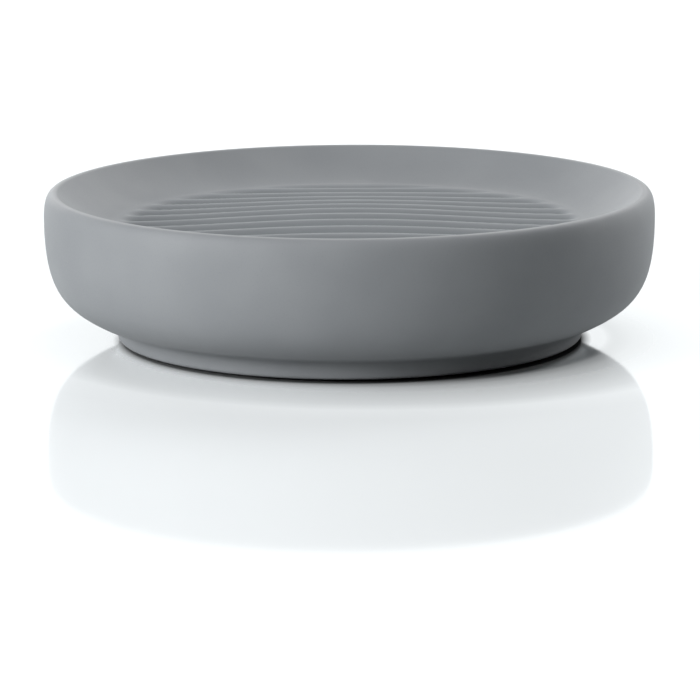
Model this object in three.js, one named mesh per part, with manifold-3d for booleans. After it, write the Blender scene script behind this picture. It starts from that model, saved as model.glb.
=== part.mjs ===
// Round soap dish: hollow ware with a soft rim, a ribbed and crowned floor and a narrow foot.
// Millimetres, +Z up, origin on the resting surface in the middle of the dish.

import * as THREE from 'three';
import { mergeVertices } from 'three/addons/utils/BufferGeometryUtils.js';
import Module from 'manifold-3d';

const wasm = await Module();
wasm.setup();

// outside of the dish
const wallRadius = 59.6;
const wallHeight = 24.4;
const rimRadius = 56.4;
const rimHeight = 29.4;
const footRadius = 45.5;
const footRound = 0.9;
const footTop = 4.6;
const bellyRadius = 50.8;
const bellyHeight = 5.3;

// ribbed floor
const zoneRadius = 46;
const gutterHeight = 23.1;
const crownHeight = 1.5;
const ribPitch = 6.6;
const ribDepth = 1.5;
const ribSharpness = 1.6;
const ribLand = 0.15;
const ribRunOut = 6;
const ribRows = 6;
const ribColumns = 14;

// hollow and base
const wallThickness = 5;
const baseTop = 6.5;
const roofHeight = gutterHeight - ribDepth - wallThickness + 0.2;
const recessRadius = 30;
const recessDepth = 1.2;

// soft pieces
const clearance = 0.3;
const padRadius = 5;
const padThickness = 1.4;
const padProud = 0.5;
const padCircle = 37.5;
const padCount = 4;
const padBevel = 0.4;
const holeRadius = 6;
const plugHeadRadius = 9;
const plugHeadThickness = 1.4;
const plugLipOverlap = 0.9;
const plugNose = 2.6;

// facets
const bodySides = 64;
const hollowSides = 36;
const softSides = 24;

const landHeight = padProud;
const recessHeight = landHeight + recessDepth;

const solid = (geometry) => {
  const bare = geometry.index ? geometry.toNonIndexed() : geometry.clone();
  bare.deleteAttribute('normal');
  bare.deleteAttribute('uv');
  const merged = mergeVertices(bare, 1e-4);
  const corners = merged.index.array;
  const kept = [];
  for (let i = 0; i < corners.length; i += 3) {
    const [a, b, c] = [corners[i], corners[i + 1], corners[i + 2]];
    if (a !== b && b !== c && c !== a) kept.push(a, b, c);
  }
  const vertProperties = new Float32Array(merged.attributes.position.array);
  const triVerts = new Uint32Array(kept);
  return new wasm.Manifold(new wasm.Mesh({ numProp: 3, vertProperties, triVerts }));
};

const geometryOf = (manifold) => {
  const mesh = manifold.getMesh();
  const geometry = new THREE.BufferGeometry();
  geometry.setAttribute('position', new THREE.BufferAttribute(new Float32Array(mesh.vertProperties), 3));
  geometry.setIndex(new THREE.BufferAttribute(new Uint32Array(mesh.triVerts), 1));
  geometry.computeVertexNormals();
  return geometry;
};

// a turned solid from an outline of radius and height that starts and ends on the axis
const turned = (points, sides) => {
  const geometry = new THREE.LatheGeometry(points, sides);
  geometry.rotateX(Math.PI / 2);
  return solid(geometry);
};

const cylinder = (radius, bottom, top, x = 0, y = 0) => {
  const geometry = new THREE.CylinderGeometry(radius, radius, top - bottom, softSides);
  geometry.rotateX(Math.PI / 2);
  geometry.translate(x, y, (top + bottom) / 2);
  return solid(geometry);
};

// height of the rib crests: a cosine crown that lies level at the edge of the ribbed zone
const crestHeight = (r) =>
  gutterHeight + (crownHeight / 2) * (1 + Math.cos((Math.PI * Math.min(r, zoneRadius)) / zoneRadius));

// how much of the rib depth is cut at a radius: all of it inside, none at the edge of the zone
const ribWindow = (r) => THREE.MathUtils.smoothstep(zoneRadius - r, 0, ribRunOut);

const at = (r, z) => new THREE.Vector2(r, z);

// points along a cubic curve after its first one, which the outline already has
const along = (a, b, c, d, steps) => new THREE.CubicBezierCurve(a, b, c, d).getPoints(steps).slice(1);

// outline of the dish from the axis below, out and over the rim, to the axis above
const bodyOutline = () => {
  const footEdge = at(footRadius - footRound, landHeight);
  const footSide = at(footRadius, landHeight + footRound);
  const bellyStart = at(bellyRadius, bellyHeight);
  const wall = at(wallRadius, wallHeight);
  const rim = at(rimRadius, rimHeight);
  const gutter = at(zoneRadius, gutterHeight);
  const points = [
    at(0, recessHeight),
    at(recessRadius - recessDepth, recessHeight),
    at(recessRadius, landHeight),
    footEdge,
    ...along(footEdge, at(footRadius - 0.3, landHeight), at(footRadius, landHeight + 0.3), footSide, 3),
    ...along(footSide, at(footRadius + 0.5, footTop), at(bellyRadius - 2, footTop), bellyStart, 4),
    ...along(bellyStart, at(bellyRadius + 5.7, bellyHeight + 2.9), at(wallRadius, 11.3), wall, 8),
    ...along(wall, at(wallRadius, wallHeight + 4.1), at(rimRadius + 2.2, rimHeight), rim, 7),
    ...along(rim, at(rimRadius - 3.5, rimHeight), at(zoneRadius + 5, gutterHeight), gutter, 7),
  ];
  const crownRings = 5;
  for (let i = 1; i <= crownRings; i++) {
    const r = zoneRadius * (1 - i / crownRings);
    points.push(at(r, crestHeight(r)));
  }
  return points;
};

// outline of the hollow, one wall thickness inside the belly, the flank and the floor
const hollowOutline = () => {
  const floorEdge = at(footRadius - wallThickness, baseTop);
  const side = at(wallRadius - wallThickness, roofHeight);
  const roofEdge = at(zoneRadius - 1, roofHeight);
  return [
    at(0, baseTop),
    floorEdge,
    ...along(floorEdge, at(footRadius + 1, baseTop + 1), at(side.x, baseTop + 5), side, 5),
    ...along(side, at(side.x, roofHeight + 5), at(zoneRadius + 4, roofHeight), roofEdge, 5),
    at(0, roofHeight),
  ];
};

// a die whose lower face is the ribbed floor: it stands proud of the dish at every crest and beyond the zone
const ribDie = () => {
  const reach = zoneRadius + 5;
  const rows = 2 * Math.floor((ribRows * (reach - 1.5)) / ribPitch);
  const die = new THREE.BoxGeometry(2, rows, 2, ribColumns, rows, 1);
  const position = die.attributes.position;
  for (let i = 0; i < position.count; i++) {
    const y = (position.getY(i) * ribPitch) / ribRows;
    const x = Math.sqrt(reach * reach - y * y) * Math.sin((position.getX(i) * Math.PI) / 2);
    const r = Math.hypot(x, y);
    const rise = 0.25 * Math.max(r - zoneRadius, 0) ** 2;
    const groove = Math.abs(Math.sin((Math.PI * y) / ribPitch)) ** ribSharpness * ribWindow(r);
    const floor = crestHeight(r) + rise + ribLand - (ribLand + ribDepth) * groove;
    position.setXYZ(i, x, y, position.getZ(i) > 0 ? rimHeight + 10 : floor);
  }
  return solid(die);
};

const padPlace = (i) => {
  const angle = ((i + 0.5) * 2 * Math.PI) / padCount;
  return [padCircle * Math.cos(angle), padCircle * Math.sin(angle)];
};

const boreTop = recessHeight + plugHeadThickness + clearance;

const dishBody = () => {
  let body = turned(bodyOutline(), bodySides);
  body = body.subtract(ribDie());
  body = body.subtract(turned(hollowOutline(), hollowSides));
  body = body.subtract(cylinder(holeRadius, 0, baseTop + 1));
  body = body.subtract(cylinder(plugHeadRadius + clearance, 0, boreTop));
  for (let i = 0; i < padCount; i++) {
    const [x, y] = padPlace(i);
    body = body.subtract(cylinder(padRadius + clearance, -1, padThickness + clearance, x, y));
  }
  return geometryOf(body);
};

const gripPad = () =>
  geometryOf(turned([
    at(0, 0),
    at(padRadius - padBevel, 0),
    at(padRadius, padBevel),
    at(padRadius, padThickness),
    at(0, padThickness),
  ], softSides));

// stopper with a flat head under the base, a stem in the hole and a lip that holds it from above
const drainPlug = () => {
  const stem = holeRadius - clearance;
  const lip = holeRadius + plugLipOverlap;
  const headTop = recessHeight + plugHeadThickness;
  const lipBottom = baseTop + clearance;
  return geometryOf(turned([
    at(0, recessHeight),
    at(plugHeadRadius - padBevel, recessHeight),
    at(plugHeadRadius, recessHeight + padBevel),
    at(plugHeadRadius, headTop),
    at(stem, headTop),
    at(stem, lipBottom),
    at(lip, lipBottom),
    at(stem - 1, lipBottom + plugNose),
    at(0, lipBottom + plugNose),
  ], softSides));
};

const wareMaterial = new THREE.MeshStandardMaterial({ color: '#8f9194', roughness: 0.62, metalness: 0 });
const padMaterial = new THREE.MeshStandardMaterial({ color: '#2b2c2d', roughness: 0.8, metalness: 0 });
const plugMaterial = new THREE.MeshStandardMaterial({ color: '#c9cac8', roughness: 0.7, metalness: 0 });

const soapDish = new THREE.Group();
soapDish.name = 'soap_dish';

const place = (name, geometry, material, x = 0, y = 0) => {
  const mesh = new THREE.Mesh(geometry, material);
  mesh.name = name;
  mesh.position.set(x, y, 0);
  soapDish.add(mesh);
};

place('dish_body', dishBody(), wareMaterial);
place('drain_plug', drainPlug(), plugMaterial);
for (let i = 0; i < padCount; i++) {
  place(`grip_pad_${i + 1}`, gripPad(), padMaterial, ...padPlace(i));
}

export default soapDish;
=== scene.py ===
import bmesh
import bpy
import numpy as np
from mathutils import Matrix


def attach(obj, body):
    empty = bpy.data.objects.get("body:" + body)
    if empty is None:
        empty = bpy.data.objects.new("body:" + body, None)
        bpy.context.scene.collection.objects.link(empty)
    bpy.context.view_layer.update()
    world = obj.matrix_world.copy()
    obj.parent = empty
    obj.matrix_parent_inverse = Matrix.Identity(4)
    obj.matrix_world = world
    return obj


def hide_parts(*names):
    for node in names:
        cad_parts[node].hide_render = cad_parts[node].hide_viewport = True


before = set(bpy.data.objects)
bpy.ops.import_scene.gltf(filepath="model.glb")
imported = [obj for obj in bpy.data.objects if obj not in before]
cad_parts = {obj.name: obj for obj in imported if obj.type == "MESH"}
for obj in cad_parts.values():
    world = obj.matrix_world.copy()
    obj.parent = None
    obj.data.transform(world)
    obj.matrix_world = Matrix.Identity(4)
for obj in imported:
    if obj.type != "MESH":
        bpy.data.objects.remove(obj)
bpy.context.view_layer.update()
print("frame loaded:", ", ".join(sorted(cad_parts)))

mm = 0.001
weldDistance = 1e-6
fullTurn = 2 * np.pi


# cubic curve: four points weighed by (1-t)^3, 3t(1-t)^2, 3t^2(1-t) and t^3
def cubic(a, b, c, d, steps):
    t = np.linspace(0, 1, steps + 1)[:, None]
    a, b, c, d = (np.array(p, float) for p in (a, b, c, d))
    return a * (1 - t) ** 3 + 3 * b * t * (1 - t) ** 2 + 3 * c * t ** 2 * (1 - t) + d * t ** 3


# straight run from a to b in equal steps
def straight(a, b, steps):
    t = np.linspace(0, 1, steps + 1)[:, None]
    return np.array(a, float) * (1 - t) + np.array(b, float) * t


# soft corner: leaves a towards the corner point and lands on b, weighed by (1-t)^2, 2t(1-t) and t^2
def softCorner(a, corner, b, steps=5):
    t = np.linspace(0, 1, steps + 1)[:, None]
    a, corner, b = (np.array(p, float) for p in (a, corner, b))
    return a * (1 - t) ** 2 + 2 * corner * t * (1 - t) + b * t ** 2


# runs end to end, without the point that two of them share
def joined(*runs):
    return np.vstack([runs[0]] + [run[1:] for run in runs[1:]])


# 3t^2 - 2t^3 of t held between 0 and 1
def smooth(t):
    t = np.clip(t, 0, 1)
    return t * t * (3 - 2 * t)


# outline turned about Z: x = r cos a, y = r sin a, with r and the height from the outline
def turned(outline, around, centre=(0, 0)):
    a = np.arange(around) * fullTurn / around
    r, z = outline[:, :1], outline[:, 1:]
    return np.stack([centre[0] + r * np.cos(a), centre[1] + r * np.sin(a), z + 0 * a], -1)


# quads between neighbouring rings, each ring closed on itself
def ringQuads(rings, around):
    i, j = np.meshgrid(np.arange(rings - 1), np.arange(around), indexing="ij")
    here, there = i * around, (i + 1) * around
    k = (j + 1) % around
    return np.stack([here + j, here + k, there + k, there + j], -1).reshape(-1, 4)


# one closed mesh out of grids of rings in millimetres: welded, faces out, smooth apart from true edges
def makePiece(name, grids, sharpDegrees):
    points, quads, count = [], [], 0
    for grid in grids:
        points.append(grid.reshape(-1, 3) * mm)
        quads.append(ringQuads(*grid.shape[:2]) + count)
        count += grid.shape[0] * grid.shape[1]
    mesh = bpy.data.meshes.new(name)
    mesh.from_pydata(np.vstack(points).tolist(), [], np.vstack(quads).tolist())
    work = bmesh.new()
    work.from_mesh(mesh)
    bmesh.ops.remove_doubles(work, verts=work.verts, dist=weldDistance)
    bmesh.ops.recalc_face_normals(work, faces=work.faces)
    work.to_mesh(mesh)
    work.free()
    mesh.polygons.foreach_set("use_smooth", np.ones(len(mesh.polygons), bool))
    mesh.set_sharp_from_angle(angle=np.radians(sharpDegrees))
    mesh.update()
    piece = bpy.data.objects.new(name, mesh)
    bpy.context.scene.collection.objects.link(piece)
    print(name, len(mesh.polygons), "faces")
    return piece


# where the points of a finished piece lie, in millimetres
def pointsOf(piece):
    flat = np.zeros(len(piece.data.vertices) * 3, np.float32)
    piece.data.vertices.foreach_get("co", flat)
    return flat.reshape(-1, 3) / mm


# the ware: one hollow body of revolution with a ribbed floor and pockets for the pads
# each reach says how far the handles of a curve stand off from its two ends
ware = {
    "around": 320, "sharpDegrees": 38,
    "footRadius": 45.5, "footRound": 0.9, "footReach": 0.3, "footTop": 4.6, "waistReach": (0.5, 2.0),
    "bellyRadius": 50.8, "bellyHeight": 5.3, "bellyReach": (5.7, 2.9), "bellyTop": 11.3,
    "wallRadius": 59.6, "wallHeight": 24.4, "lipReach": (4.4, 1.1),
    "crestRadius": 57.4, "rimHeight": 29.4, "crestRoll": 0.8, "crestDrop": 0.42, "rollReach": 0.35,
    "flankSteep": 42.0, "flankReach": (4.0, 3.5),
    "zoneRadius": 46.0, "gutterHeight": 23.1, "crownHeight": 1.5, "floorRings": 105,
    "steps": {"foot": 6, "waist": 12, "belly": 24, "lip": 28, "roll": 8, "flank": 20},
    "wallThickness": 5.0, "baseTop": 6.5, "roofHeight": 16.8, "roofInset": 1.0,
    "roofReach": (4.0, 5.0), "hollowReach": (5.0, 1.0),
    "landHeight": 0.5, "recessRadius": 30.0, "recessHeight": 1.7,
    "holeRadius": 6.0, "seatRadius": 9.3, "seatHeight": 3.4,
    "edge": 0.35,  # softness of the cut edges under the foot
    "ringCells": 14, "ringRows": 9, "ringGrading": 1.3,  # mesh of the foot's flat ring
}
ribs = {"pitch": 6.6, "depth": 1.5, "sharpness": 1.6, "land": 0.15, "runOut": 4.6, "soft": 0.1}
pads = {"count": 4, "circle": 37.5, "radius": 5.0, "thickness": 1.4, "clearance": 0.3, "bevel": 0.45,
        "topEdge": 0.2, "soleDepth": 0.12, "soleShares": (0.45, 0.5, 0.52, 0.58),
        "around": 64, "sharpDegrees": 50}


# floor height: a cosine crown, less the grooves, which are a power of the sine across the ribs and run out at
# the flank; half the sum of a depth and its hypotenuse with the softness rounds the edges of the ribs' lands
def floorHeight(x, y):
    w = ware
    land, soft = ribs["land"], ribs["soft"]
    r = np.hypot(x, y)
    crown = w["gutterHeight"] + w["crownHeight"] / 2 * (1 + np.cos(np.pi * r / w["zoneRadius"]))
    across = np.abs(np.sin(np.pi * y / ribs["pitch"])) ** ribs["sharpness"]
    groove = across * smooth((w["zoneRadius"] - r) / ribs["runOut"])
    drop = (land + ribs["depth"]) * groove - land
    return crown - (drop + np.hypot(drop, soft) - np.hypot(land, soft) + land) / 2


# outside from the edge of the foot over belly, wall, lip and crest, down the hollow flank to the edge of the
# floor, then ring by ring inwards
def outerSkin():
    w, steps = ware, ware["steps"]
    footEdge = (w["footRadius"] - w["footRound"], w["landHeight"])
    footSide = (w["footRadius"], w["landHeight"] + w["footRound"])
    belly = (w["bellyRadius"], w["bellyHeight"])
    wall = (w["wallRadius"], w["wallHeight"])
    crest = (w["crestRadius"], w["rimHeight"])
    roll = (w["crestRadius"] - w["crestRoll"], w["rimHeight"] - w["crestDrop"])
    gutter = (w["zoneRadius"], w["gutterHeight"])
    steep = np.radians(w["flankSteep"])
    fall = np.array((np.cos(steep), np.sin(steep)))
    outline = joined(
        cubic(footEdge, (w["footRadius"] - w["footReach"], w["landHeight"]),
              (w["footRadius"], w["landHeight"] + w["footReach"]), footSide, steps["foot"]),
        cubic(footSide, (w["footRadius"] + w["waistReach"][0], w["footTop"]),
              (w["bellyRadius"] - w["waistReach"][1], w["footTop"]), belly, steps["waist"]),
        cubic(belly, (w["bellyRadius"] + w["bellyReach"][0], w["bellyHeight"] + w["bellyReach"][1]),
              (w["wallRadius"], w["bellyTop"]), wall, steps["belly"]),
        cubic(wall, (w["wallRadius"], w["wallHeight"] + w["lipReach"][0]),
              (w["crestRadius"] + w["lipReach"][1], w["rimHeight"]), crest, steps["lip"]),
        cubic(crest, (w["crestRadius"] - w["rollReach"], w["rimHeight"]),
              roll + w["rollReach"] * fall, roll, steps["roll"]),
        cubic(roll, roll - w["flankReach"][0] * fall,
              (w["zoneRadius"] + w["flankReach"][1], w["gutterHeight"]), gutter, steps["flank"]),
    )
    inwards = np.linspace(w["zoneRadius"], 0, w["floorRings"] + 1)
    grid = turned(joined(outline, np.column_stack([inwards, inwards * 0])), w["around"])
    floor = grid[len(outline):]
    floor[..., 2] = floorHeight(floor[..., 0], floor[..., 1])
    return grid


# inside from the middle of the hollow's roof, down its side and out through the drain hole to the edge of
# the recess
def innerSkin():
    w = ware
    e = w["edge"]
    side = (w["wallRadius"] - w["wallThickness"], w["roofHeight"])
    roofEdge = (w["zoneRadius"] - w["roofInset"], w["roofHeight"])
    floorEdge = (w["footRadius"] - w["wallThickness"], w["baseTop"])
    hole, seat, recess = w["holeRadius"], w["seatRadius"], w["recessRadius"]
    top, mid, low, land = w["baseTop"], w["seatHeight"], w["recessHeight"], w["landHeight"]
    slope = recess - (low - land)
    outline = joined(
        straight((0, w["roofHeight"]), roofEdge, 4),
        cubic(roofEdge, (w["zoneRadius"] + w["roofReach"][0], w["roofHeight"]),
              (side[0], w["roofHeight"] + w["roofReach"][1]), side, 8),
        cubic(side, (side[0], top + w["hollowReach"][0]),
              (w["footRadius"] + w["hollowReach"][1], top + w["hollowReach"][1]), floorEdge, 8),
        straight(floorEdge, (hole + e, top), 4),
        softCorner((hole + e, top), (hole, top), (hole, top - e)),
        straight((hole, top - e), (hole, mid), 2),
        straight((hole, mid), (seat, mid), 2),
        straight((seat, mid), (seat, low + e), 2),
        softCorner((seat, low + e), (seat, low), (seat + e, low)),
        straight((seat + e, low), (slope - 2 * e, low), 8),
        softCorner((slope - 2 * e, low), (slope, low), (slope + e, low - e)),
        softCorner((slope + e, low - e), (recess, land), (recess + e, land)),
    )
    return turned(outline, w["around"])


# one share of the foot's flat ring: rays in angle and radius from the pocket of its pad to the outline of
# the share, then up the pocket's soft edge and wall to the middle of its roof
def footShare(number):
    w = ware
    e, land = w["edge"], w["landHeight"]
    inner, outer = w["recessRadius"] + e, w["footRadius"] - w["footRound"]
    cells, sideCells = w["around"] // pads["count"], w["ringCells"]
    angle = number * fullTurn / pads["count"] + np.arange(cells + 1) * fullTurn / w["around"]
    radius = np.linspace(inner, outer, sideCells + 1)
    first, last = np.full(sideCells, angle[0]), np.full(sideCells, angle[-1])
    borderAngle = np.concatenate([angle[:-1], last, angle[:0:-1], first])
    borderRadius = np.concatenate([np.full(cells, inner), radius[:-1], np.full(cells, outer), radius[:0:-1]])
    middle = (number + 0.5) * fullTurn / pads["count"]
    ray = np.arctan2(borderRadius - pads["circle"], (borderAngle - middle) * pads["circle"])
    pocket = pads["radius"] + pads["clearance"]
    roof = pads["thickness"] + pads["clearance"]
    along, out = np.cos(ray), np.sin(ray)

    def ringAt(size, z):  # ring of the pocket, from its own radius and height
        x = pads["circle"] + size * out
        y = -size * along
        c, s = np.cos(middle), np.sin(middle)
        return np.stack([x * c + y * s, x * s - y * c, z + 0 * x], -1)

    mouth = ringAt(pocket + e, land)
    mouthRadius = np.hypot(mouth[:, 0], mouth[:, 1])
    turn = np.arctan2(mouth[:, 1], mouth[:, 0]) - middle
    mouthAngle = middle + (turn + np.pi) % fullTurn - np.pi
    t = (np.linspace(1, 0, w["ringRows"]) ** w["ringGrading"])[:, None]
    a = mouthAngle + (borderAngle - mouthAngle) * t
    r = mouthRadius + (borderRadius - mouthRadius) * t
    flat = np.stack([r * np.cos(a), r * np.sin(a), land + 0 * r], -1)
    wall = joined(
        softCorner((pocket + e, land), (pocket, land), (pocket, land + e)),
        straight((pocket, land + e), (pocket, roof), 1),
        straight((pocket, roof), (0, roof), 2),
    )
    return np.concatenate([flat, np.stack([ringAt(size, z) for size, z in wall[1:]])])


footShares = [footShare(number) for number in range(pads["count"])]
dishWare = makePiece("dish_ware", [outerSkin(), innerSkin()] + footShares, ware["sharpDegrees"])

# lighter on the rib crests and the top of the rim, for thinner glaze and as a painted highlight; darker on the
# floor and most of all in the grooves, for pooled glaze and as painted shade; by powers of cosine and sine
# across the ribs and a bell curve of the height under the rim
glazeAndPaintedLight = {"crestPower": 8, "ribShare": 0.28, "rimBand": 0.12, "pooledGlazeAndShadeBase": 0.35, "floorMargin": 0.5}
place = pointsOf(dishWare)
reach = np.hypot(place[:, 0], place[:, 1])
grooveBottom = ware["gutterHeight"] - ribs["depth"] - glazeAndPaintedLight["floorMargin"]
onFloor = (place[:, 2] > grooveBottom) & (reach < ware["zoneRadius"])
ribbed = smooth((ware["zoneRadius"] - reach) / ribs["runOut"]) * onFloor
phase = np.pi * place[:, 1] / ribs["pitch"]
# rib crests and the rim top lightened: thinner glaze, with a painted highlight on top
ribCrestHighlight = glazeAndPaintedLight["ribShare"] * np.cos(phase) ** glazeAndPaintedLight["crestPower"] * ribbed
rimCrestHighlight = np.exp(-((place[:, 2] - ware["rimHeight"]) / glazeAndPaintedLight["rimBand"]) ** 2)
# ribbed floor darkened, most of all in the grooves: pooled glaze, with painted shade
pooledGlazeAndShade = (glazeAndPaintedLight["pooledGlazeAndShadeBase"] + (1 - glazeAndPaintedLight["pooledGlazeAndShadeBase"]) * np.sin(phase) ** 2) * ribbed
for label, values in (("thinGlazeAndHighlight", np.maximum(ribCrestHighlight, rimCrestHighlight)), ("pooledGlazeAndShade", pooledGlazeAndShade)):
    attribute = dishWare.data.attributes.new(label, "FLOAT", "POINT")
    attribute.data.foreach_set("value", values.astype(np.float32))

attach(dishWare, "root")
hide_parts("dish_body")


# soft pad: a low disc with a rolled lower edge and a shallow dished sole that leaves a flat ring to stand on
def padOutline():
    p = pads
    r, b, top, e, dip = p["radius"], p["bevel"], p["thickness"], p["topEdge"], p["soleDepth"]
    dished, leave, land, ring = (r * share for share in p["soleShares"])
    return joined(
        straight((0, dip), (dished, dip), 2),
        cubic((dished, dip), (leave, dip), (land, 0), (ring, 0), 5),
        straight((ring, 0), (r - b, 0), 2),
        softCorner((r - b, 0), (r, 0), (r, b), 7),
        straight((r, b), (r, top - e), 1),
        softCorner((r, top - e), (r, top), (r - e, top), 3),
        straight((r - e, top), (0, top), 2),
    )


padPieces = []
for number in range(pads["count"]):
    direction = (number + 0.5) * fullTurn / pads["count"]
    centre = (pads["circle"] * np.cos(direction), pads["circle"] * np.sin(direction))
    pad = makePiece(f"pad_{number + 1}", [turned(padOutline(), pads["around"], centre)], pads["sharpDegrees"])
    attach(pad, "root")
    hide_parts(f"grip_pad_{number + 1}")
    padPieces.append(pad)

# the stopper: a flat head in its seat, a stem in the drain hole and a lip that holds it from above
# slopes and insets are measured from the ring's, the lip's and the stem's radius
plug = {"headRadius": 9.0, "headThickness": 1.4, "stemRadius": 5.7, "lipRadius": 6.9, "nose": 2.6,
        "bottom": 1.7, "lipBottom": 6.8, "edge": 0.45, "ringRadius": 6.2, "ringDepth": 0.25,
        "ringSlope": (-0.6, -0.2, 0.3), "lipInset": (0.2, 0.1), "noseInset": (0.8, 1.0, 1.4),
        "softening": 0.25, "around": 96, "sharpDegrees": 50}


# stopper outline from the middle of its underside, with one shallow moulded ring, up to the tip of its nose
def plugOutline():
    p = plug
    head, stem, lip, e = p["headRadius"], p["stemRadius"], p["lipRadius"], p["edge"]
    low, under, soft = p["bottom"], p["lipBottom"], p["softening"]
    dip, headTop, tip = low + p["ringDepth"], low + p["headThickness"], under + p["nose"]
    slopeTop, slopeBend, slopeFoot = (p["ringRadius"] + shift for shift in p["ringSlope"])
    lipEdge, lipSide = (lip - inset for inset in p["lipInset"])
    noseSide, noseCorner, noseTop = (stem - inset for inset in p["noseInset"])
    return joined(
        straight((0, dip), (slopeTop, dip), 4),
        cubic((slopeTop, dip), (slopeBend, dip), (slopeBend, low), (slopeFoot, low), 6),
        straight((slopeFoot, low), (head - e, low), 2),
        softCorner((head - e, low), (head, low), (head, low + e), 6),
        straight((head, low + e), (head, headTop), 1),
        straight((head, headTop), (stem, headTop), 2),
        straight((stem, headTop), (stem, under), 2),
        straight((stem, under), (lipEdge, under), 1),
        softCorner((lipEdge, under), (lip, under), (lipSide, under + soft), 3),
        straight((lipSide, under + soft), (noseSide, tip - soft), 3),
        softCorner((noseSide, tip - soft), (noseCorner, tip), (noseTop, tip), 3),
        straight((noseTop, tip), (0, tip), 2),
    )


stopper = makePiece("stopper", [turned(plugOutline(), plug["around"])], plug["sharpDegrees"])
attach(stopper, "root")
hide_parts("drain_plug")
print("pieces made")

# noise of the shared grain, and the part of a noise's range that the materials use
noise = {"fineDetail": 3, "slowDetail": 2, "slowRoughness": 0.45, "pitEdge": (0.02, 0.16), "pitDepth": 0.6}
noiseMiddle = (0.3, 0.7)


# a value carried from its own range into another
def rerange(nodes, links, value, low, high, newLow, newHigh):
    mapRange = nodes.new("ShaderNodeMapRange")
    for label, number in (("From Min", low), ("From Max", high), ("To Min", newLow), ("To Max", newHigh)):
        mapRange.inputs[label].default_value = number
    links.new(value, mapRange.inputs["Value"])
    return mapRange.outputs["Result"]


# shared grain: a fine noise, a slow mottle and sparse pits, all on Object coordinates
def makeGrain():
    group = bpy.data.node_groups.new("fineGrain", "ShaderNodeTree")
    for label in ("Grain Scale", "Mottle Scale", "Pit Scale"):
        group.interface.new_socket(label, in_out="INPUT", socket_type="NodeSocketFloat")
    for label in ("Grain", "Mottle", "Height"):
        group.interface.new_socket(label, in_out="OUTPUT", socket_type="NodeSocketFloat")
    nodes, links = group.nodes, group.links
    entry, leave = nodes.new("NodeGroupInput"), nodes.new("NodeGroupOutput")
    where = nodes.new("ShaderNodeTexCoord")
    fine, slow = nodes.new("ShaderNodeTexNoise"), nodes.new("ShaderNodeTexNoise")
    cells = nodes.new("ShaderNodeTexVoronoi")
    fine.inputs["Detail"].default_value = noise["fineDetail"]
    slow.inputs["Detail"].default_value = noise["slowDetail"]
    slow.inputs["Roughness"].default_value = noise["slowRoughness"]
    for texture, label in ((fine, "Grain Scale"), (slow, "Mottle Scale"), (cells, "Pit Scale")):
        links.new(where.outputs["Object"], texture.inputs["Vector"])
        links.new(entry.outputs[label], texture.inputs["Scale"])
    pit = rerange(nodes, links, cells.outputs["Distance"], *noise["pitEdge"], 1, 0)  # middle of a cell
    dip = nodes.new("ShaderNodeMath")
    dip.operation = "MULTIPLY_ADD"  # grain less the pits
    dip.inputs[1].default_value = -noise["pitDepth"]
    links.new(pit, dip.inputs[0])
    links.new(fine.outputs["Fac"], dip.inputs[2])
    outputs = {"Grain": fine.outputs["Fac"], "Mottle": slow.outputs["Fac"], "Height": dip.outputs[0]}
    for label, output in outputs.items():
        links.new(output, leave.inputs[label])
    return group


grainGroup = makeGrain()


# bare material with its shader and a placed grain group
def startMaterial(name, scales):
    material = bpy.data.materials.new(name)
    material.use_nodes = True
    nodes = material.node_tree.nodes
    shader = nodes["Principled BSDF"]
    grain = nodes.new("ShaderNodeGroup")
    grain.node_tree = grainGroup
    for label, value in scales.items():
        grain.inputs[label].default_value = value
    return material, nodes, material.node_tree.links, shader, grain


# blend of two colours by a value
def mixColours(nodes, links, factor, first, second):
    mix = nodes.new("ShaderNodeMix")
    mix.data_type = "RGBA"
    links.new(factor, mix.inputs["Factor"])
    for socket, colour in (("A", first), ("B", second)):
        target = [s for s in mix.inputs if s.name == socket and s.type == "RGBA"][0]
        if isinstance(colour, tuple):
            target.default_value = (*colour, 1)
        else:
            links.new(colour, target)
    return [s for s in mix.outputs if s.type == "RGBA"][0]


# two close tones in a slow mottle
def mottled(nodes, links, grain, tones):
    share = rerange(nodes, links, grain.outputs["Mottle"], *noiseMiddle, 0, 1)
    return mixColours(nodes, links, share, tones["dark"], tones["light"])


# colour into the shader, with roughness and a slight tooth from the grain
def finishMaterial(nodes, links, shader, grain, colour, tones):
    rough = rerange(nodes, links, grain.outputs["Grain"], *noiseMiddle, tones["roughLow"], tones["roughHigh"])
    bump = nodes.new("ShaderNodeBump")
    bump.inputs["Strength"].default_value = 1
    bump.inputs["Distance"].default_value = tones["grainDepth"]
    links.new(grain.outputs["Height"], bump.inputs["Height"])
    links.new(colour, shader.inputs["Base Color"])
    links.new(rough, shader.inputs["Roughness"])
    links.new(bump.outputs["Normal"], shader.inputs["Normal"])


# the last two tones: lighter for thinner glaze with a painted highlight on the crests, darker for pooled glaze
# with painted shade on the floor and in the grooves
glaze = {"dark": (0.263, 0.278, 0.293), "light": (0.291, 0.306, 0.321), "speck": (0.230, 0.245, 0.260),
         "thinAndHighlit": (0.390, 0.405, 0.420), "thickAndShaded": (0.190, 0.214, 0.229), "thinAndHighlitShare": 0.7, "thickAndShadedShare": 0.85,
         "speckRange": (0.62, 0.8), "speckShare": 0.5, "roughLow": 0.60, "roughHigh": 0.72,
         "grainDepth": 0.000006, "scales": {"Grain Scale": 3600, "Mottle Scale": 70, "Pit Scale": 520}}


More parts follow.
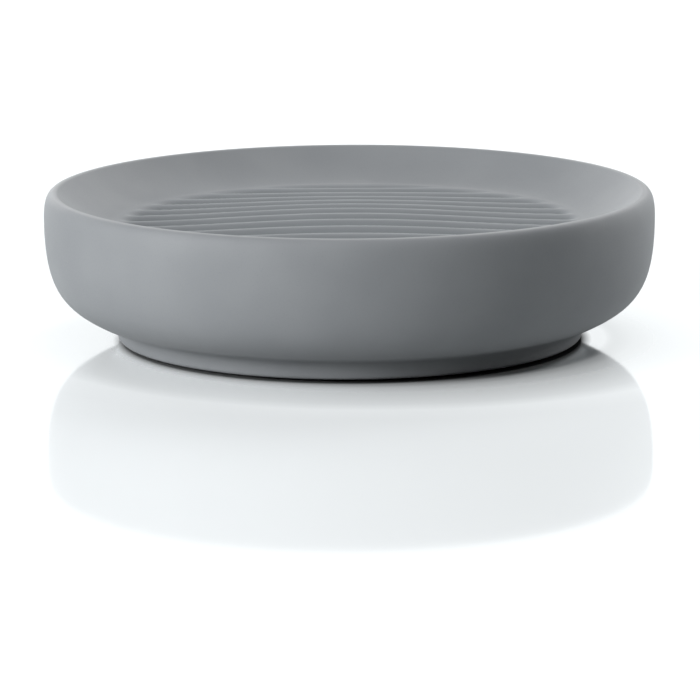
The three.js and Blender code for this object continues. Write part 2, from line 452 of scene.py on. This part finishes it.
# matt glaze: mottled greys, faint specks, lighter where it is thin and on the crests as painted highlight,
# darker where it pools and in the grooves as painted shade
def mattGlaze():
    g = glaze
    material, nodes, links, shader, grain = startMaterial("matt_glaze", g["scales"])
    colour = mottled(nodes, links, grain, g)
    speck = rerange(nodes, links, grain.outputs["Grain"], *g["speckRange"], 0, g["speckShare"])
    colour = mixColours(nodes, links, speck, colour, g["speck"])
    # crests lightened and floor and grooves darkened, partly as painted highlight and painted shade
    for label, tone in (("thinGlazeAndHighlight", "thinAndHighlit"), ("pooledGlazeAndShade", "thickAndShaded")):
        attribute = nodes.new("ShaderNodeAttribute")
        attribute.attribute_name = label
        share = rerange(nodes, links, attribute.outputs["Fac"], 0, 1, 0, g[tone + "Share"])
        colour = mixColours(nodes, links, share, colour, g[tone])
    finishMaterial(nodes, links, shader, grain, colour, g)
    return material


softScales = {"Grain Scale": 5200, "Mottle Scale": 240, "Pit Scale": 1800}
padTones = {"dark": (0.020, 0.020, 0.021), "light": (0.034, 0.034, 0.036),
            "roughLow": 0.72, "roughHigh": 0.88, "grainDepth": 0.00001}
plugTones = {"dark": (0.52, 0.52, 0.51), "light": (0.60, 0.60, 0.59),
             "roughLow": 0.55, "roughHigh": 0.72, "grainDepth": 0.00001}


# soft moulding: mottled tones with a slight tooth
def softMoulding(name, tones):
    material, nodes, links, shader, grain = startMaterial(name, softScales)
    finishMaterial(nodes, links, shader, grain, mottled(nodes, links, grain, tones), tones)
    return material


def dress(piece, material):
    piece.data.materials.clear()
    piece.data.materials.append(material)


dress(dishWare, mattGlaze())
padMaterial = softMoulding("soft_pad", padTones)
for pad in padPieces:
    dress(pad, padMaterial)
dress(stopper, softMoulding("soft_stopper", plugTones))
print("materials made")

# polished pale floor, white where it is seen, with a painted shadow round the foot and a faint mirror image of
# the dish; ramps give its glow, its own tone and its mirror share by the distance from the painted shadow's
# middle, so that near the foot the glow and tone fall and the mirror share rises as painted shadow
ground = {
    "half": 3.0, "albedo": 0.55, "tint": (0.955, 0.987, 1.0), "polish": 0.06,
    "rampLow": 0.04, "rampHigh": 0.08, "flat": 0.2, "far": 0.6, "farGlow": 0.25,
    # the painted shadow's middle lies to the side away from the key; the painted black gap under the foot has
    # its own middle and ramp
    "shadow": (0.006, 0.0, 0.0), "paintedGapMiddle": (0.0004, -0.0010, 0.0), "gap": ((0.0448, 0.0), (0.0470, 1.0)),
    "glow": ((0.0440, 0.10), (0.0466, 0.52), (0.0495, 0.70), (0.0540, 0.79), (0.0660, 0.80), (0.0790, 0.70)),
    "tone": ((0.0440, 0.06), (0.0470, 0.30), (0.0700, 1.0)),
    "mirror": ((0.0440, 0.92), (0.0455, 0.75), (0.0466, 0.63), (0.0495, 0.53), (0.0540, 0.45),
               (0.0650, 0.39), (0.0705, 0.29), (0.0790, 0.28)),
}


# two values put through one sum
def combine(nodes, links, operation, first, second):
    node = nodes.new("ShaderNodeMath")
    node.operation = operation
    links.new(first, node.inputs[0])
    links.new(second, node.inputs[1])
    return node.outputs[0]


# two switches: 1 for rays from the camera, mirrored or bent, that show the stage, and 1 for the camera's alone
def seenRays(nodes, links):
    path = nodes.new("ShaderNodeLightPath").outputs
    either = combine(nodes, links, "MAXIMUM", path["Is Camera Ray"], path["Is Glossy Ray"])
    return combine(nodes, links, "MAXIMUM", either, path["Is Transmission Ray"]), path["Is Camera Ray"]


# how far a point of the floor is from a middle
def distanceFrom(nodes, links, middle):
    where, length = nodes.new("ShaderNodeTexCoord"), nodes.new("ShaderNodeVectorMath")
    length.operation = "DISTANCE"
    links.new(where.outputs["Object"], length.inputs[0])
    length.inputs[1].default_value = middle
    return length.outputs["Value"]


# value that follows straight runs between stops of distance
def distanceRamp(nodes, links, distance, stops):
    ramp = nodes.new("ShaderNodeValToRGB")
    low, high = ground["rampLow"], ground["rampHigh"]
    elements = ramp.color_ramp.elements
    while len(elements) < len(stops):
        elements.new(0.5)
    for element, (stop, value) in zip(elements, stops):
        element.position, element.color = (stop - low) / (high - low), (value, value, value, 1)
    links.new(rerange(nodes, links, distance, low, high, 0, 1), ramp.inputs["Fac"])
    return ramp.outputs["Color"]


# own tone and glow, with a mirror share for the camera, shaped round the foot into a painted shadow; seen from
# below the floor is clear
def floorMaterial():
    g = ground
    material = bpy.data.materials.new("pale_floor")
    material.use_nodes = True
    nodes, links = material.node_tree.nodes, material.node_tree.links
    nodes.clear()
    distance, paintedGapDistance = (distanceFrom(nodes, links, g[middle]) for middle in ("shadow", "paintedGapMiddle"))
    seen, camera = seenRays(nodes, links)
    clearOfPaintedGap = distanceRamp(nodes, links, paintedGapDistance, g["gap"])  # 0 in the painted black gap under the foot
    farGlow = rerange(nodes, links, distance, g["flat"], g["far"], 0, g["farGlow"])
    glow = combine(nodes, links, "ADD", distanceRamp(nodes, links, distance, g["glow"]), farGlow)
    glow = combine(nodes, links, "MULTIPLY", glow, combine(nodes, links, "MULTIPLY", seen, clearOfPaintedGap))
    share = combine(nodes, links, "MULTIPLY", distanceRamp(nodes, links, distance, g["mirror"]), clearOfPaintedGap)
    share = combine(nodes, links, "MULTIPLY", share, camera)
    pale = tuple(g["albedo"] * tone for tone in g["tint"])
    # own colour runs from black at the foot to pale: painted shade
    own = mixColours(nodes, links, distanceRamp(nodes, links, distance, g["tone"]), (0.0, 0.0, 0.0), pale)
    diffuse, emission = nodes.new("ShaderNodeBsdfDiffuse"), nodes.new("ShaderNodeEmission")
    gloss, clear = nodes.new("ShaderNodeBsdfGlossy"), nodes.new("ShaderNodeBsdfTransparent")
    emission.inputs["Color"].default_value = gloss.inputs["Color"].default_value = (*g["tint"], 1)
    gloss.inputs["Roughness"].default_value = g["polish"]
    links.new(own, diffuse.inputs["Color"])
    links.new(glow, emission.inputs["Strength"])
    both, polished = nodes.new("ShaderNodeAddShader"), nodes.new("ShaderNodeMixShader")
    side, choose = nodes.new("ShaderNodeNewGeometry"), nodes.new("ShaderNodeMixShader")
    out = nodes.new("ShaderNodeOutputMaterial")
    for shader, sources in ((both, (diffuse.outputs[0], emission.outputs[0])),
                            (polished, (share, both.outputs[0], gloss.outputs[0])),
                            (choose, (side.outputs["Backfacing"], polished.outputs[0], clear.outputs[0]))):
        for source, target in zip(sources, shader.inputs):
            links.new(source, target)
    links.new(choose.outputs[0], out.inputs["Surface"])
    return material


def makeFloor():
    mesh = bpy.data.meshes.new("floor")
    corners = np.array([(-1, -1, 0), (1, -1, 0), (1, 1, 0), (-1, 1, 0)]) * ground["half"]
    mesh.from_pydata(corners.tolist(), [], [(0, 1, 2, 3)])
    mesh.materials.append(floorMaterial())
    floor = bpy.data.objects.new("floor", mesh)
    bpy.context.scene.collection.objects.link(floor)


makeFloor()

# soft boxes: azimuth from the camera's side towards +X, elevation, distance, size and watts
lamps = {
    "keyBox": {"azimuth": -55, "elevation": 6.5, "distance": 0.9, "size": 0.45, "watts": 6.75},
    "keyHigh": {"azimuth": -55, "elevation": 30, "distance": 0.9, "size": 0.4, "watts": 2.3},
    "rightRim": {"azimuth": 120, "elevation": 9, "distance": 0.9, "size": 0.4, "watts": 2.0},
    "backRight": {"azimuth": 150, "elevation": 35, "distance": 0.9, "size": 0.4, "watts": 3.1},
    "backLeft": {"azimuth": 202, "elevation": 16, "distance": 0.9, "size": 0.4, "watts": 2.2},
    "overhead": {"azimuth": 90, "elevation": 78, "distance": 0.9, "size": 0.6, "watts": 2.5},
}
sky = {"diffuse": 0.02, "seen": 1.0}
aimHeight = 0.015  # about the middle of the dish, where the lamps and the camera aim


# a place on a sphere about the middle of the dish
def standAt(azimuth, elevation, distance):
    level, height = distance * np.cos(elevation), aimHeight + distance * np.sin(elevation)
    return Matrix.Translation((level * np.sin(azimuth), -level * np.cos(azimuth), height))


# a square soft box that faces the middle of the dish
def softBox(name, azimuth, elevation, distance, size, watts):
    light = bpy.data.lights.new(name, "AREA")
    light.shape, light.size, light.energy = "SQUARE", size, watts
    lamp = bpy.data.objects.new(name, light)
    a, e = np.radians(azimuth), np.radians(elevation)
    turns = Matrix.Rotation(a, 4, "Z") @ Matrix.Rotation(np.pi / 2 - e, 4, "X")
    lamp.matrix_world = standAt(a, e, distance) @ turns
    bpy.context.scene.collection.objects.link(lamp)


for lampName, settings in lamps.items():
    softBox(lampName, **settings)


# even grey surround for light, white where it is seen or mirrored
def makeSky():
    world = bpy.data.worlds.new("studio")
    bpy.context.scene.world = world
    world.use_nodes = True
    nodes, links = world.node_tree.nodes, world.node_tree.links
    background = nodes["Background"]
    seen, _ = seenRays(nodes, links)
    background.inputs["Color"].default_value = (1, 1, 1, 1)
    links.new(rerange(nodes, links, seen, 0, 1, sky["diffuse"], sky["seen"]), background.inputs["Strength"])


makeSky()

# camera: the point that it aims at falls on this pixel of the 700 pixel frame
lens = {"elevation": 10.05, "distance": 0.9, "pixelsPerMetre": 5106, "pixel": (350.0, 261.4), "roll": -0.24,
        "frame": 700, "sensor": 36, "clip": (0.05, 50)}


def makeCamera():
    c = lens
    data = bpy.data.cameras.new("camera")
    camera = bpy.data.objects.new("camera", data)
    focal = c["pixelsPerMetre"] * c["distance"]  # in pixels
    data.sensor_width = c["sensor"]
    data.lens = focal * c["sensor"] / c["frame"]
    data.clip_start, data.clip_end = c["clip"]
    e, roll = np.radians(c["elevation"]), np.radians(c["roll"])
    pitch = e + np.arctan((c["frame"] / 2 - c["pixel"][1]) / focal)
    yaw = np.arctan((c["pixel"][0] - c["frame"] / 2) / focal)
    turns = Matrix.Rotation(yaw, 4, "Z") @ Matrix.Rotation(np.pi / 2 - pitch, 4, "X")
    camera.matrix_world = standAt(0, e, c["distance"]) @ turns @ Matrix.Rotation(roll, 4, "Z")
    bpy.context.scene.collection.objects.link(camera)
    bpy.context.scene.camera = camera


makeCamera()
bpy.context.scene.view_settings.view_transform = "Standard"
print("stage, light and camera set")
